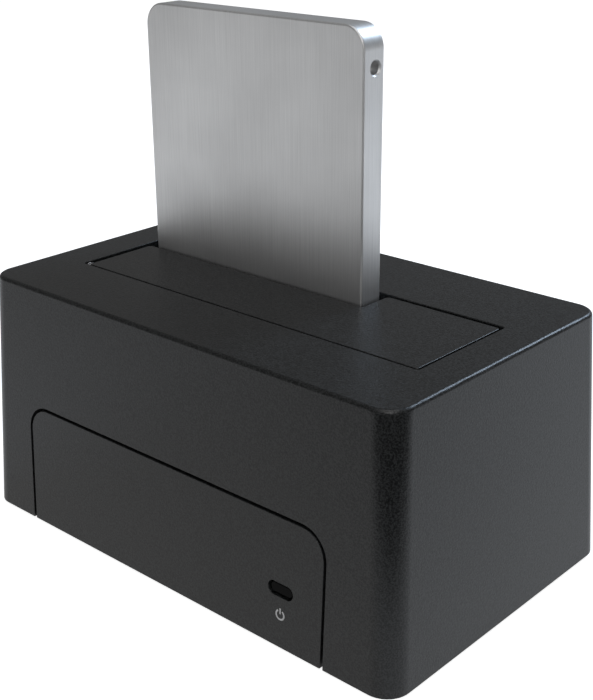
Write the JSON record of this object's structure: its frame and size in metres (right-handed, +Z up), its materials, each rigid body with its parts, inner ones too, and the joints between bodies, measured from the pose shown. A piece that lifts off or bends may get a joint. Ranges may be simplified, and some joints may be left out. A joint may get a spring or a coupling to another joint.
{
  "type": "hard drive docking station",
  "caption": "Desktop docking station: a rounded black box with a hinged flap in its top and a slim metal drive standing upright in the slot",
  "frame": {"origin": "middle of the footprint, on the surface that the feet stand on", "axes": "+Z up, -Y towards the front panel, +X to the right seen from the front"},
  "size_m": [0.1352, 0.0838, 0.1276],
  "materials": {
    "housing_plastic": "fine textured black",
    "base_plastic": "textured black",
    "bay_plastic": "matte black",
    "button_plastic": "polished black",
    "foot_rubber": "soft matte",
    "dark_screw_steel": "black zinc",
    "bright_screw_steel": "bright zinc",
    "spring_steel": "drawn wire",
    "board_laminate": "green solder mask",
    "connector_plastic": "black nylon",
    "plunger_plastic": "natural nylon",
    "contact_brass": "thin gold plating",
    "port_steel": "nickel plated",
    "chip_plastic": "moulded epoxy",
    "can_aluminium": "drawn can",
    "lamp_plastic": "clear epoxy",
    "drive_aluminium": "fine brushed satin"
  },
  "bodies": {
    "station": {"upper_housing": "housing_plastic", "front_panel": "housing_plastic", "base_plate": "base_plastic", "base_screws": "dark_screw_steel", "rubber_feet": "foot_rubber", "drive_bay": "bay_plastic", "bay_screws": "bright_screw_steel", "main_board": "board_laminate", "board_screws": "bright_screw_steel", "sata_socket": "connector_plastic", "sata_contacts": "contact_brass", "bridge_chip": "chip_plastic", "memory_chip": "chip_plastic", "crystal": "port_steel", "power_coils": "chip_plastic", "power_cans": "can_aluminium", "status_led": "lamp_plastic", "switch_case": "connector_plastic", "usb_can": "port_steel", "usb_tongue": "connector_plastic", "usb_contacts": "contact_brass", "dc_jack": "connector_plastic", "dc_pin": "contact_brass"},
    "flap": {"flap": "housing_plastic", "flap_pins": "bright_screw_steel", "flap_spring": "spring_steel"},
    "button": {"power_button": "button_plastic", "switch_plunger": "plunger_plastic"},
    "drive": {"drive_case": "drive_aluminium", "drive_lid": "drive_aluminium", "lid_screws": "dark_screw_steel", "drive_board": "board_laminate", "drive_plug": "connector_plastic", "plug_contacts": "contact_brass", "drive_chips": "chip_plastic"}
  },
  "joints": [
    {"name": "flap_hinge", "type": "hinge", "parent": "station", "child": "flap", "pos_m": [0, -0.01655, 0.0632], "axis": [-1, 0, 0], "range_deg": [0, 88], "stiffness_Nm_per_rad": 0.0015, "springref_deg": -60},
    {"name": "button_press", "type": "slide", "parent": "station", "child": "button", "axis": [0, 1, 0], "range_m": [0, 0.0006], "stiffness_N_per_m": 1000, "springref_m": -0.0006},
    {"name": "drive_lift", "type": "slide", "parent": "station", "child": "drive", "axis": [0, 0, 1], "range_m": [0, 0.045]}
  ]
}
